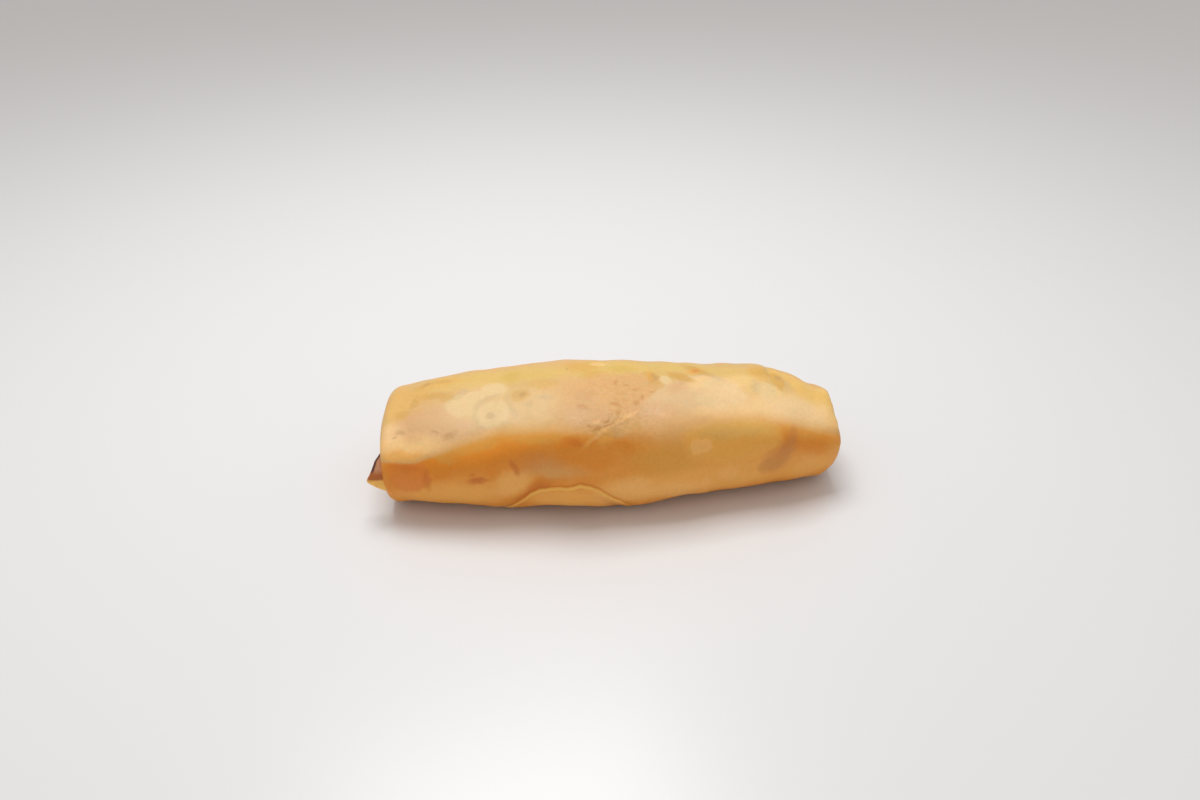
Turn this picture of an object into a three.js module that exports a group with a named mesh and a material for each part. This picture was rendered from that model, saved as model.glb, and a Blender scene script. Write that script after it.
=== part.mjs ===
// A deep-fried spring roll: one sheet of wheat pastry wound round a filling, with its ends folded in
// and the last corner of the sheet lying up the front as a flap. It is one closed solid.
//
// Millimetres. +X runs along the roll from its left end to its right one, +Y points to its back and
// +Z up. The finished roll's origin is under the middle of its box, on the surface that it rests on.
// Until then x is counted from halfway between the ends. Places on the skin are given by the share
// of the length, counted from the left end, and by the angle around the section: 0 is the back, 90
// the top, 180 the front and 270 the underside.
import * as THREE from 'three';

// ---- Driving dimensions ----------------------------------------------------------------------

const LENGTH = 105.4; // from one folded end to the other, without the tongue
const WIDTH = 36.3; // across the belly, at the widest section
const HEIGHT = 27.2; // from the rest to the top of the belly
const SHEET = 0.6; // one layer of the pastry
const SQUARENESS = 2.6; // exponent of the section: 2 is an ellipse, more is boxier
const SETTLE = 0.7; // how far the roll's own weight flattens its underside

// The flat patch that it rests on: the corners of a triangle around the origin, as x and y.
const REST_CORNERS = [[-34, -8.5], [-34, 10], [36, 0.8]];
const REST_CLEARANCE = 0.3; // how far the rest of the underside stays above it

// How the section changes along the roll. The widths and heights are shares of the belly's.
const SHARES = [0, 0.1, 0.27, 0.45, 0.62, 0.8, 0.93, 1];
const PROFILE = {
  width: [0.865, 0.92, 0.95, 1, 0.963, 0.885, 0.825, 0.72],
  height: [0.735, 0.845, 0.93, 1, 0.963, 0.88, 0.805, 0.69],
  lift: [1, 0.3, 0, 0, 0, 0.3, 0.9, 1.5], // the underside above the rest, in millimetres
  bow: [1.7, 0.9, 0.1, -1.6, -1.3, -0.2, 0, 0.6], // the axis to the back, in millimetres
  foldAngle: [178, 172, 158, 146, 145, 150, 160, 168], // the ridge between top and front, in degrees
  foldRise: [0.5, 0.6, 0.7, 0.8, 0.7, 0.8, 0.7, 0.4], // that ridge's height, in millimetres
};
const FOLD_SPREAD = 13; // degrees on either side over which the ridge runs out

// Bulges and dents of the filling under the skin: [share, angle, reach along, reach around, rise].
// The reach along is in millimetres, the one around in degrees and the rise in millimetres.
const LUMPS = [
  [0.13, 110, 8, 26, -0.5],
  [0.22, 195, 12, 22, 0.5],
  [0.33, 176, 9, 16, -0.7],
  [0.42, 70, 10, 24, 0.5],
  [0.5, 172, 7, 14, -0.5],
  [0.6, 118, 9, 22, -0.45],
  [0.7, 190, 12, 22, 0.55],
  [0.74, 96, 10, 22, 0.5],
  [0.88, 176, 7, 16, -0.5],
  [0.9, 70, 7, 26, -0.6],
  [0.3, 20, 14, 26, 0.5],
  [0.62, 8, 12, 24, -0.6],
  [0.8, 335, 12, 20, 0.4],
];
// Waves of the skin: how many along the length, how many around, phase in degrees, height in mm.
const RIPPLES = [
  [5, 2, 40, 0.14],
  [8, -3, 110, 0.11],
  [13, 4, 200, 0.07],
];

// The last corner of the sheet. Its free edge runs down from a blunt tip on either side and goes on
// under the roll to the far corners.
const FLAP = {
  tipX: -13, // where the tip lies along the roll
  tipAngle: 189,
  bluntness: 8, // half the width over which the tip is rounded off
  degreesPerMm: 4.4, // how steeply its edges run around the roll
  step: 1.5, // degrees over which the edge rises at the tip
  softening: 0.25, // how many degrees more that is per millimetre beside the tip
  backAngle: 330, // where the flap has become the outer layer
  curl: 0.7, // how far the tip stands off the roll
  curlSpread: 12, // half the length over which it does
  followed: 38, // degrees below the tip down to which the mesh follows the edge
};

// The folded ends. The turns of the sheet show there as rounded ridges, one inside the other.
const ENDS = {
  left: {
    side: -1,
    rimRadius: 2.8, // rounding between the skin and the end
    rimSwing: 0.8, // how much larger it is at rimAngle, and smaller opposite
    rimAngle: 60,
    lean: 1, // how far the end stands back at leanAngle
    leanAngle: 290,
    dish: 0.8, // how far the middle sits in
    groove: 1.9, // depth between two turns
    windAngle: 25, // where the turns step outwards by a part of their pitch
    windsTo: 1,
  },
  right: {
    side: 1,
    rimRadius: 6.2,
    rimSwing: 1.2,
    rimAngle: 235,
    lean: 1,
    leanAngle: 60,
    dish: 0.6,
    groove: 1.7,
    windAngle: 205,
    windsTo: -1,
  },
};
const TURN_PITCH = 0.22; // from one turn to the next, as a share of the end's radius
const WIND = 0.13; // how far a turn drifts inwards in its course, as a share of the radius
// Shares of the radius at which the end is cut: the flanks, crest and valley of every turn.
const FACE_SHARES = [
  0.1, 0.2, 0.27, 0.34, 0.41, 0.45, 0.49, 0.56, 0.63, 0.67, 0.71, 0.78, 0.85, 0.89, 0.94, 1,
];

// The tongue: the second turn slipped out of the left end, low at the front.
const TONGUE = {
  reach: 4.4,
  fromAngle: 140, // where it starts to leave the end
  tipAngle: 198,
  toAngle: 228,
  atRadius: 0.79, // share of the end's radius
  thickness: 0.085,
};

// How finely the solid is cut.
const AROUND = 72;
const ALONG = 40;
const RIM_RINGS = 3;

// ---- The form --------------------------------------------------------------------------------

const rad = THREE.MathUtils.degToRad;
const smooth = THREE.MathUtils.smoothstep;
const bell = (distance) => Math.exp(-distance * distance);
// Degrees from one angle to another, the short way round
const turnTo = (angle, other) => ((((angle - other) % 360) + 540) % 360) - 180;

const channels = Object.keys(PROFILE);
const profileTrack = new THREE.CubicInterpolant(
  SHARES,
  SHARES.flatMap((_, i) => channels.map((name) => PROFILE[name][i])),
  channels.length,
  new Float32Array(channels.length),
);

function sectionAt(share) {
  const values = profileTrack.evaluate(THREE.MathUtils.clamp(share, 0, 1));
  return Object.fromEntries(channels.map((name, i) => [name, values[i]]));
}

// How many degrees below its tip the flap's free edge lies at a place along the roll.
function edgeDrop(x) {
  const away = Math.cbrt(Math.abs(x - FLAP.tipX) ** 3 + FLAP.bluntness ** 3) - FLAP.bluntness;
  return away * FLAP.degreesPerMm;
}

function flapRelief(x, angle) {
  const freeEdge = FLAP.tipAngle + edgeDrop(x);
  const step = FLAP.step + FLAP.softening * Math.abs(x - FLAP.tipX);
  const risen = smooth(angle, freeEdge, freeEdge + step) *
    (1 - smooth(angle, FLAP.backAngle, FLAP.backAngle + 20));
  const curled = bell((x - FLAP.tipX) / FLAP.curlSpread) * bell(turnTo(angle, freeEdge) / 14);
  return risen * (SHEET + FLAP.curl * curled);
}

// Moves the angle of a point of the skin so that one line of the mesh lies along the flap's edge.
function alongFlap(x, angle) {
  const near = 1 - smooth(Math.abs(x - FLAP.tipX), 17, 36);
  const drop = near * FLAP.followed * Math.tanh(edgeDrop(x) / FLAP.followed);
  const share = angle < FLAP.tipAngle
    ? 1 - (FLAP.tipAngle - angle) / 70
    : 1 - (angle - FLAP.tipAngle) / (FLAP.followed + 35);
  return angle + drop * THREE.MathUtils.clamp(share, 0, 1);
}

// Distance from the roll's axis to its skin.
function skinRadius(share, x, angle, section) {
  const halfWidth = (WIDTH / 2) * section.width;
  const halfHeight = ((HEIGHT + SETTLE) / 2) * section.height;
  const across = Math.abs(Math.cos(rad(angle)) / halfWidth) ** SQUARENESS;
  const upright = Math.abs(Math.sin(rad(angle)) / halfHeight) ** SQUARENESS;
  let radius = (across + upright) ** (-1 / SQUARENESS);
  radius += section.foldRise * bell(turnTo(angle, section.foldAngle) / FOLD_SPREAD);
  for (const [at, around, reach, spread, rise] of LUMPS) {
    radius += rise * bell(((share - at) * LENGTH) / reach) * bell(turnTo(angle, around) / spread);
  }
  for (const [along, round, phase, height] of RIPPLES) {
    radius += height * Math.sin(rad(along * share * 360 + round * angle + phase));
  }
  return radius + flapRelief(x, angle);
}

// A point of the section at a share of the radius.
function sectionPoint(x, along, angle, share) {
  const section = sectionAt(along);
  const radius = skinRadius(along, x, angle, section) * share;
  const middle = ((HEIGHT + SETTLE) / 2) * section.height - SETTLE + section.lift;
  const y = section.bow + radius * Math.cos(rad(angle));
  const z = middle + radius * Math.sin(rad(angle));
  return new THREE.Vector3(x, y, z);
}

function rimRadiusAt(end, angle) {
  return end.rimRadius + end.rimSwing * Math.cos(rad(angle - end.rimAngle));
}

// Where the end stands at an angle, before its rim is rounded.
function endX(end, angle) {
  const back = end.lean * (0.5 + 0.5 * Math.cos(rad(angle - end.leanAngle)));
  return end.side * (LENGTH / 2 - back);
}

// How far the end face sits in from its rim at a share of the radius.
function endDepth(end, share, angle) {
  const valley = (0.5 - 0.5 * Math.cos((2 * Math.PI * (1 - share)) / TURN_PITCH)) ** 1.4;
  const uneven = 0.8 + 0.2 * Math.sin(rad(2 * angle + end.windAngle + 400 * share));
  const inner = smooth(share, 0.1, 0.3);
  return end.dish * smooth(1 - share, 0.1, 0.9) + end.groove * valley * uneven * inner;
}

// A turn drifts inwards along its course and steps back out at the wind angle, like a wound sheet.
function windDrift(end, share, angle) {
  const course = (((angle - end.windAngle) * end.windsTo) % 360 + 360) % 360 / 360;
  const drift = Math.min(course / 0.84, (1 - course) / 0.16) - 0.5;
  return share - WIND * drift * smooth(share, 0.1, 0.45) * (1 - smooth(share, 0.8, 1));
}

function tongueReach(share, angle) {
  const rising = smooth(angle, TONGUE.fromAngle, TONGUE.tipAngle);
  const falling = 1 - smooth(angle, TONGUE.tipAngle, TONGUE.toAngle);
  return TONGUE.reach * rising * falling * bell((share - TONGUE.atRadius) / TONGUE.thickness);
}

// The rings of one end, from its middle out to the skin.
function endRings(end, angles) {
  const along = end.side < 0 ? 0 : 1;
  const halfWidth = (WIDTH / 2) * sectionAt(along).width;
  const faceEdge = (angle) => 1 - rimRadiusAt(end, angle) / halfWidth;
  const face = FACE_SHARES.map((share) => angles.map((angle) => {
    const out = end.side < 0 ? tongueReach(share, angle) : 0;
    const x = endX(end, angle) - end.side * (endDepth(end, share, angle) - out);
    return sectionPoint(x, along, angle, windDrift(end, share, angle) * faceEdge(angle));
  }));
  const corner = Array.from({ length: RIM_RINGS }, (_, i) => {
    const bend = (Math.PI / 2) * ((i + 1) / (RIM_RINGS + 1));
    return angles.map((angle) => {
      const x = endX(end, angle) - end.side * rimRadiusAt(end, angle) * (1 - Math.cos(bend));
      return sectionPoint(x, along, angle, THREE.MathUtils.lerp(faceEdge(angle), 1, Math.sin(bend)));
    });
  });
  return [...face, ...corner];
}

// The rings of the skin between the two rims.
function skinRings(angles) {
  const rings = [];
  for (let i = 0; i <= ALONG; i += 1) {
    const along = i / ALONG;
    rings.push(angles.map((angle) => {
      const left = endX(ENDS.left, angle) + rimRadiusAt(ENDS.left, angle);
      const right = endX(ENDS.right, angle) - rimRadiusAt(ENDS.right, angle);
      const x = THREE.MathUtils.lerp(left, right, along);
      return sectionPoint(x, along, alongFlap(x, angle), 1);
    }));
  }
  return rings;
}

// A closed surface over a stack of rings of equal size, with a middle point at either end.
function closedOver(rings, first, last) {
  const size = rings[0].length;
  const points = [first, ...rings.flat(), last];
  const index = [];
  const at = (ring, k) => 1 + ring * size + (k % size);
  for (let k = 0; k < size; k += 1) {
    index.push(0, at(0, k + 1), at(0, k));
    index.push(points.length - 1, at(rings.length - 1, k), at(rings.length - 1, k + 1));
  }
  for (let ring = 0; ring + 1 < rings.length; ring += 1) {
    for (let k = 0; k < size; k += 1) {
      const [a, b] = [at(ring, k), at(ring, k + 1)];
      const [c, d] = [at(ring + 1, k), at(ring + 1, k + 1)];
      index.push(a, d, c, a, b, d);
    }
  }
  const geometry = new THREE.BufferGeometry().setFromPoints(points);
  geometry.setIndex(index);
  geometry.computeVertexNormals();
  return geometry;
}

function endMiddle(end) {
  const along = end.side < 0 ? 0 : 1;
  return sectionPoint(endX(end, 0) - end.side * end.dish, along, 0, 0);
}

// The angles of the mesh's lines, from the back round to the back again. They lie closer together
// where the flap's edge rises.
function cutAngles() {
  const even = Array.from({ length: AROUND }, (_, k) => (360 * k) / AROUND);
  const nearest = even.reduce((best, angle, k) =>
    Math.abs(angle - FLAP.tipAngle) < Math.abs(even[best] - FLAP.tipAngle) ? k : best, 0);
  even[nearest] = FLAP.tipAngle;
  even[nearest + 1] = FLAP.tipAngle + FLAP.step;
  return even;
}

// Puts the middle of the roll's box over the origin.
function centre(points) {
  const middle = new THREE.Box3().setFromPoints(points).getCenter(new THREE.Vector3());
  for (const point of points) {
    point.x -= middle.x;
    point.y -= middle.y;
  }
}

// Presses the patch that the roll rests on flat. The three points nearest to its corners move there,
// so that its outline is straight.
function pressFlat(points) {
  const corners = REST_CORNERS.map(([x, y]) => new THREE.Vector3(x, y, 0));
  const patch = new THREE.Triangle(...corners);
  for (const point of points.filter(({ z }) => z < HEIGHT / 4)) {
    const flat = patch.containsPoint(new THREE.Vector3(point.x, point.y, 0));
    point.z = flat ? 0 : Math.max(point.z, REST_CLEARANCE);
  }
  for (const corner of corners) {
    const distances = points.map((point) => point.distanceTo(corner));
    points[distances.indexOf(Math.min(...distances))].copy(corner);
  }
}

function springRoll() {
  const angles = cutAngles();
  const rings = [
    ...endRings(ENDS.left, angles),
    ...skinRings(angles),
    ...endRings(ENDS.right, angles).reverse(),
  ];
  const middles = [endMiddle(ENDS.left), endMiddle(ENDS.right)];
  const points = [...rings.flat(), ...middles];
  centre(points);
  pressFlat(points);
  const geometry = closedOver(rings, ...middles);
  const pastry = new THREE.MeshStandardMaterial({ color: 0xdfae66, roughness: 0.5, metalness: 0 });
  const mesh = new THREE.Mesh(geometry, pastry);
  mesh.name = 'spring_roll';
  return mesh;
}

const model = new THREE.Group();
model.add(springRoll());

export default model;
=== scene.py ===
"""The looks of a deep-fried spring roll, laid out as a Blender add-on.

Lengths are in millimetres and angles in degrees, and become metres where they go into a mesh.
+X runs along the roll to its right end, +Y to its back and +Z up. A place on the skin is given by
x and by the angle around the roll's axis: 0 is the back, 90 the top, 180 the front and 270 the
underside.
"""
import math

import bpy
import numpy as np
from mathutils import Euler, Matrix, Vector
from mathutils.bvhtree import BVHTree


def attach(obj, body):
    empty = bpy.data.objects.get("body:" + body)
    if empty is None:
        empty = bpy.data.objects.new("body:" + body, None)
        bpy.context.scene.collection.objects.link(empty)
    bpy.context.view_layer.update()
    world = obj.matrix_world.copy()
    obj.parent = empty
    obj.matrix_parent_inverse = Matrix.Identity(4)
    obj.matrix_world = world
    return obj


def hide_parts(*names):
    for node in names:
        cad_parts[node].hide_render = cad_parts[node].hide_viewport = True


bl_info = {
    "name": "Fried spring roll",
    "version": (1, 0, 0),
    "blender": (4, 5, 0),
    "location": "3D View > Sidebar > Spring roll",
    "description": "Models the skin, the flap and the folded ends of a deep-fried spring roll",
    "category": "Add Mesh",
}

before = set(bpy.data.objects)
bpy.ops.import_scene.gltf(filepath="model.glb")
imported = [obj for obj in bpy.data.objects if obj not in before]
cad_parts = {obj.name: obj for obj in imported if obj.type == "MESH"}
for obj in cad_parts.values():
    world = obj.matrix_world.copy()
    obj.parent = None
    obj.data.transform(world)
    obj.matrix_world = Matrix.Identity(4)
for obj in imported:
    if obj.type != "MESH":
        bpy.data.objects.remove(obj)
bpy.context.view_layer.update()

MM = 0.001
BODY = "root"
SOLID = "spring_roll"
SKIN = "roll_skin"

# ---- The roll's own coordinates --------------------------------------------------------------

# The roll's axis, through the middle of its sections.
AXIS_X = (-47.8, -38.3, -22.1, -5.0, 11.2, 28.3, 40.6, 47.3)
AXIS_Y = (2.9, 2.1, 1.3, -0.4, -0.1, 1.0, 1.2, 1.8)
AXIS_Z = (10.6, 11.4, 12.3, 13.2, 12.7, 11.9, 11.4, 10.4)

# The line where the pale top turns into the browner front: places along the roll, the line's
# angle there, and half the width over which the colour changes. The browner front is partly the
# front's own deeper fry and partly painted shade, the deeper orange it shows in shade below the ridge.
TURN_X = (-52, -48, -44, -42, -40.5, -38, -35, -30, -25, -20, -15, -10,
          -5, 1, 6, 12, 20, 26, 33, 40, 45, 49, 52, 54)
TURN_ANGLE = (163, 162, 163, 162.5, 160.5, 158, 155, 150, 146, 144.5, 144.5, 146,
              148, 150.5, 149, 148, 144, 142, 142.3, 146.5, 150.5, 154.5, 158, 162)
TURN_WIDTH = (0.35, 0.35, 0.4, 0.4, 0.4, 0.5, 0.6, 0.8, 0.9, 1.0, 1.1, 1.0,
              0.8, 0.8, 1.6, 2.3, 1.7, 1.2, 1.1, 1.1, 1.2, 1.3, 1.3, 1.4)
BACK_TURN = 27.0  # the angle where the back turns pale again
BACK_WIDTH = 2.4
BACK_WAVE, BACK_WAVE_LENGTH = 5.0, 6.0  # how far it wanders, in degrees, and how slowly
FAR_FROM_TURN = 9.0  # half widths, past which the distance from either line isn't followed

MEAN_RADIUS = 15.0
ARC = math.radians(1) * MEAN_RADIUS  # millimetres around the roll for one degree
TOP = 90.0
SEAM = 270.0  # where the unrolled skin is cut open, on the underside
LEFT_END = -50.8
RIGHT_END = 54.5


def axis_at(x):
    """The y and z of the roll's axis at places along it."""
    return np.interp(x, AXIS_X, AXIS_Y), np.interp(x, AXIS_X, AXIS_Z)


def around(points):
    """The angle and the distance from the axis of points in millimetres."""
    y, z = axis_at(points[:, 0])
    angle = np.degrees(np.arctan2(points[:, 2] - z, points[:, 1] - y))
    return angle % 360, np.hypot(points[:, 1] - y, points[:, 2] - z)


def smooth(value, start, end):
    """0 before start and 1 after end, with a soft rise between them."""
    share = np.clip((value - start) / (end - start), 0, 1)
    return share * share * (3 - 2 * share)


def bell(distance):
    return np.exp(-distance * distance)


def rounded(distance, width):
    """The height of a rounded rim, from 0 at its edge to 1 where its width ends."""
    share = np.clip(distance / width, 0, 1)
    return np.sqrt(1 - (1 - share) ** 2)


def turn_between(angle, other):
    """Degrees from one angle to another, the short way round."""
    return (angle - other + 180) % 360 - 180


def inside_edge(angle, edge):
    """Degrees that a place is inside the flap's free edge, from -90 to 270."""
    return turn_between(angle, edge + 90) + 90


def place_around(x, angle, radius):
    """The points at places along the axis, at angles and distances from it."""
    y, z = axis_at(x)
    away = np.radians(angle)
    return np.stack([x, y + radius * np.cos(away), z + radius * np.sin(away)], 1)


def push_out(points, rise):
    """Moves points away from the roll's axis, and less where they are within a millimetre of it."""
    angle, radius = around(points)
    return place_around(points[:, 0], angle, radius + rise * np.minimum(radius, 1))


# ---- Working on meshes -----------------------------------------------------------------------

def deselect_all():
    if bpy.context.mode != "OBJECT":
        bpy.ops.object.mode_set(mode="OBJECT")
    bpy.ops.object.select_all(action="DESELECT")


def pick_only(piece):
    deselect_all()
    piece.select_set(True)
    bpy.context.view_layer.objects.active = piece


def apply_modifier(piece, kind, **settings):
    pick_only(piece)
    modifier = piece.modifiers.new(kind.title(), kind)
    for name, value in settings.items():
        setattr(modifier, name, value)
    bpy.ops.object.modifier_apply(modifier=modifier.name)


def subdivide_smoothly(piece, levels):
    apply_modifier(piece, "SUBSURF", levels=levels, render_levels=levels)


def read_items(items, name, width=1, kind=int):
    """The values that a mesh's vertices, edges, faces or corners hold under a name."""
    values = np.empty(len(items) * width, kind)
    items.foreach_get(name, values)
    return values.reshape(-1, width) if width > 1 else values


def points_of(piece):
    """The piece's points in millimetres."""
    return read_items(piece.data.vertices, "co", 3, float) / MM


def move_points(piece, points):
    """Moves the piece's points to places in millimetres, and none of them below the floor."""
    points[:, 2] = np.maximum(points[:, 2], 0)
    piece.data.vertices.foreach_set("co", (points * MM).ravel())
    piece.data.update()


def smooth_points(piece, points, weight, rounds):
    """Evens the points out with their neighbours, each by its own weight."""
    first, second = read_items(piece.data.edges, "vertices", 2).T
    count = np.bincount(np.append(first, second), minlength=len(points))[:, None]
    for _ in range(rounds):
        total = np.zeros_like(points)
        for axis in range(3):
            total[:, axis] += np.bincount(first, points[second, axis], len(points))
            total[:, axis] += np.bincount(second, points[first, axis], len(points))
        points = points + weight[:, None] * (total / count - points)
    return points


def add_grid(name, columns, rows):
    """A new grid, and how far along it and across it each of its points is, from 0 to 1."""
    deselect_all()
    bpy.ops.mesh.primitive_grid_add(x_subdivisions=columns, y_subdivisions=rows, size=2)
    grid = bpy.context.object
    grid.name = name
    grid.data.name = name
    along, across = (points_of(grid).T[:2] * MM + 1) / 2
    return grid, along, across


def finish_piece(piece, material):
    """Gives a finished piece its material, and ties it to the frame in place of the solid."""
    piece.data.materials.clear()
    piece.data.materials.append(material)
    pick_only(piece)
    bpy.ops.object.shade_smooth()
    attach(piece, BODY)
    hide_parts(SOLID)
    deselect_all()


def lay_out_skin(piece):
    """Adds the unrolled skin as UV maps in millimetres: its places, and its distances.

    Map "skin" holds x and the way around from the top. Map "edges" holds how far a place is below
    the line where the browner front or back begins, in half widths of that line, and how far it
    is inside the flap's free edge.
    """
    mesh = piece.data
    points = points_of(piece)
    corners = read_items(mesh.loops, "vertex_index")
    sizes = read_items(mesh.polygons, "loop_total")
    face = np.repeat(np.arange(len(sizes)), sizes)
    x = points[corners, 0]
    angle = around(points)[0][corners]
    turned = (angle - SEAM) % 360
    # A face across the seam has all its corners on the side where its first corner lies.
    first = np.concatenate([[0], np.cumsum(sizes)[:-1]])
    lead = turned[first][face]
    turned = turned + 360 * np.round((lead - turned) / 360)
    angle = turned + SEAM - 360
    skin = np.stack([x, (angle - TOP) * ARC], 1)
    turn = np.interp(x, TURN_X, TURN_ANGLE)
    on_front = (angle - turn) * ARC / np.interp(x, TURN_X, TURN_WIDTH)
    on_back = (BACK_TURN + BACK_WAVE * np.sin(x / BACK_WAVE_LENGTH) - angle) * ARC / BACK_WIDTH
    below_turn = np.clip(np.maximum(on_front, on_back), -FAR_FROM_TURN, FAR_FROM_TURN)
    edges = np.stack([below_turn, inside_edge(angle, flap_edge(x)) * ARC], 1)
    for name, values in (("skin", skin), ("edges", edges)):
        layer = mesh.uv_layers.get(name) or mesh.uv_layers.new(name=name)
        layer.data.foreach_set("uv", values.ravel())


# ---- The flap's free edge --------------------------------------------------------------------

SHEET = 0.6  # one layer of the pastry
# The free edge of the solid's flap.
SOLID_TIP_X = -11.1
SOLID_TIP_ANGLE = 189.0
SOLID_BLUNTNESS = 8.0  # half the width over which the tip is rounded off
SOLID_SLOPE = 4.4  # degrees that its edges run around the roll for each millimetre along it

# The free edge of the flap itself, from the left end under the roll to its tip, and on under the
# roll and over its back to the top: x, and the angle there.
EDGE_X = (-49, -40, -30, -24, -21.5, -20, -18.5, -17, -15, -12, -9.5, -7.5,
          -6, -4, -2.5, -0.5, 1.5, 5, 10, 20, 30, 36, 41)
EDGE_ANGLE = (320, 285, 243, 218, 209, 204, 197, 193, 190, 188.5, 187.5, 185.3,
              185.8, 188, 192, 198.5, 204.5, 217, 238, 285, 340, 385, 415)
FLAP_TIP_X = -10.0
# Where its right edge is thinner, under the front, how far that reaches, and by which share.
FLAP_THIN_X, FLAP_THIN_LENGTH, FLAP_THINNED = 7.5, 5, 0.6
FLAP_LEFT = (-49.0, -43.0)  # where its left edge comes out of the skin
FLAP_RIGHT = (36.0, 41.0)  # where its right edge sinks back into it, on the roll's top


def solid_flap_edge(x):
    """The angle of the free edge that the solid has."""
    blunt = np.cbrt(np.abs(x - SOLID_TIP_X) ** 3 + SOLID_BLUNTNESS ** 3) - SOLID_BLUNTNESS
    return SOLID_TIP_ANGLE + SOLID_SLOPE * blunt


def curve_through(x, known_x, known):
    """A smooth curve through known points."""
    known_x, known = np.array(known_x, float), np.array(known, float)
    slopes = np.gradient(known, known_x)
    piece = np.clip(np.searchsorted(known_x, x) - 1, 0, len(known_x) - 2)
    width = known_x[piece + 1] - known_x[piece]
    t = np.clip((x - known_x[piece]) / width, 0, 1)
    start = known[piece] * (1 + 2 * t) + slopes[piece] * width * t
    end = known[piece + 1] * (3 - 2 * t) - slopes[piece + 1] * width * (1 - t)
    return start * (1 - t) ** 2 + end * t ** 2


def flap_edge(x):
    """The angle of the flap's free edge at places along the roll."""
    unevenness = 0.4 * np.sin(1.3 * x + 1) + 0.25 * np.sin(2.9 * x)
    return curve_through(x, EDGE_X, EDGE_ANGLE) + unevenness


def flap_there(x):
    """1 where the flap lies on the skin and 0 where the two are one."""
    return smooth(x, *FLAP_LEFT) * (1 - smooth(x, *FLAP_RIGHT))


# ---- Skin ------------------------------------------------------------------------------------

# Soft dents and bulges that the filling gives the skin: x, angle, half length, half width around
# in degrees, and height.
DENTS = (
    (-47, 110, 5, 30, -0.25),
    (-41, 60, 8, 20, 0.2),
    (-26, 122, 6, 16, -0.25),
    (-12, 100, 9, 18, 0.22),
    (-30, 168, 9, 10, 0.25),
    (-4, 163, 6, 9, -0.3),
    (14, 126, 8, 14, 0.2),
    (25, 150, 7, 12, -0.22),
    (33, 108, 7, 16, 0.22),
    (42, 140, 6, 14, -0.25),
    (47, 165, 6, 16, 0.2),
    (20, 190, 12, 14, 0.25),
    (40, 80, 8, 14, -0.2),
    (-35, 200, 8, 14, 0.2),
    (-20, 40, 10, 20, 0.25),
    (8, 30, 9, 20, -0.25),
    (-40, 345, 8, 18, 0.25),
    (30, 340, 10, 20, -0.25),
    (0, 330, 12, 18, 0.25),
    (20, 15, 8, 14, 0.2),
    (28.5, 57, 5, 22, -0.75),
    (35, 57, 3, 18, -0.3),
    (43.5, 57, 3, 20, -0.55),
    (50.3, 60, 3, 26, -1.6),
    (52, 42, 2.4, 24, -2.4),
    (49.5, 222, 4, 24, 0.9),
    (-48.5, 220, 2.5, 14, 0.7),
    (-38, 55, 4, 18, 0.35),
    (-44, 214, 5, 12, -0.3),
    (-23.5, 215, 4, 12, 1.1),
    (-13, 222, 4, 14, -0.55),
    (6, 216, 6, 12, 0.95),
    (-8, 226, 6, 12, -0.4),
)
# The right end is drawn out evenly, and more at the front and low down.
DRAWN_OUT, DRAWN_OUT_LOW = 0.5, 0.9
DRAWN_OUT_X = (40, 53)  # where that begins, and where it is full
LOW_FRONT = 18  # how far down and forward of the axis, added up, counts as full
# The places where its rim stands out or back: angle, spread in degrees, and reach.
RIM_CORNERS = ((77, 26, 1.2), (135, 16, -0.35), (177, 20, 0.5), (213, 18, -0.7))
RIM_RADIUS = (4, 9)  # how far from the axis these begin, and where they are full
LEFT_FADE, RIGHT_FADE = 4, 6  # how far in from each end the skin's relief is full
# How far the solid's flap stands off at its tip, over its thickness, and how far that reaches
# along the roll, and around it in degrees.
CURL, CURL_LENGTH, CURL_SPREAD = 0.7, 12, 14
UNDER_FLAP_DEPTH = (7, 14)  # the depths over which the skin under the flap rises to the solid's
UNDER_FLAP_END = (330, 350)  # the angles over which it does so under the roll
# How strongly the skin is evened out, how often along the solid's flap and on the whole side, and
# how far from the flap's edge the first reaches.
SMOOTHING = 0.5
EDGE_ROUNDS, SIDE_ROUNDS = 24, 4
EDGE_REACH = 3


def skin_from_solid():
    """A copy of the solid as an even mesh of quads, cut finely."""
    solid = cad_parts[SOLID]
    skin = bpy.data.objects.new(SKIN, solid.data.copy())
    bpy.context.scene.collection.objects.link(skin)
    pick_only(skin)
    if skin.data.has_custom_normals:
        bpy.ops.mesh.customdata_custom_splitnormals_clear()
    bpy.ops.object.mode_set(mode="EDIT")
    bpy.ops.mesh.select_all(action="SELECT")
    bpy.ops.mesh.remove_doubles(threshold=0.01 * MM)
    bpy.ops.mesh.tris_convert_to_quads(face_threshold=math.pi, shape_threshold=math.pi)
    bpy.ops.object.mode_set(mode="OBJECT")
    subdivide_smoothly(skin, 2)
    return skin


def ripple(x, around_mm, size, seed):
    """Smooth unevenness, mostly between -1 and 1, with bumps of about a size."""
    random = np.random.default_rng(seed)
    total = np.zeros_like(x)
    for _ in range(RIPPLE_WAVES):
        turn, phase = random.uniform(0, 2 * np.pi, 2)
        waves = 2 * np.pi / size * random.uniform(0.7, 1.4)
        total += np.sin((x * np.cos(turn) + around_mm * np.sin(turn)) * waves + phase)
    return total * RIPPLE_SHARE


def line_place(x, around_mm, start, end):
    """How far places lie along and beside a line from one (x, angle) to another, in millimetres."""
    step = np.array([end[0] - start[0], (end[1] - start[1]) * ARC])
    length = np.hypot(*step)
    right, up = x - start[0], around_mm - (start[1] - TOP) * ARC
    return (right * step[0] + up * step[1]) / length, (up * step[0] - right * step[1]) / length, length


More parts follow.
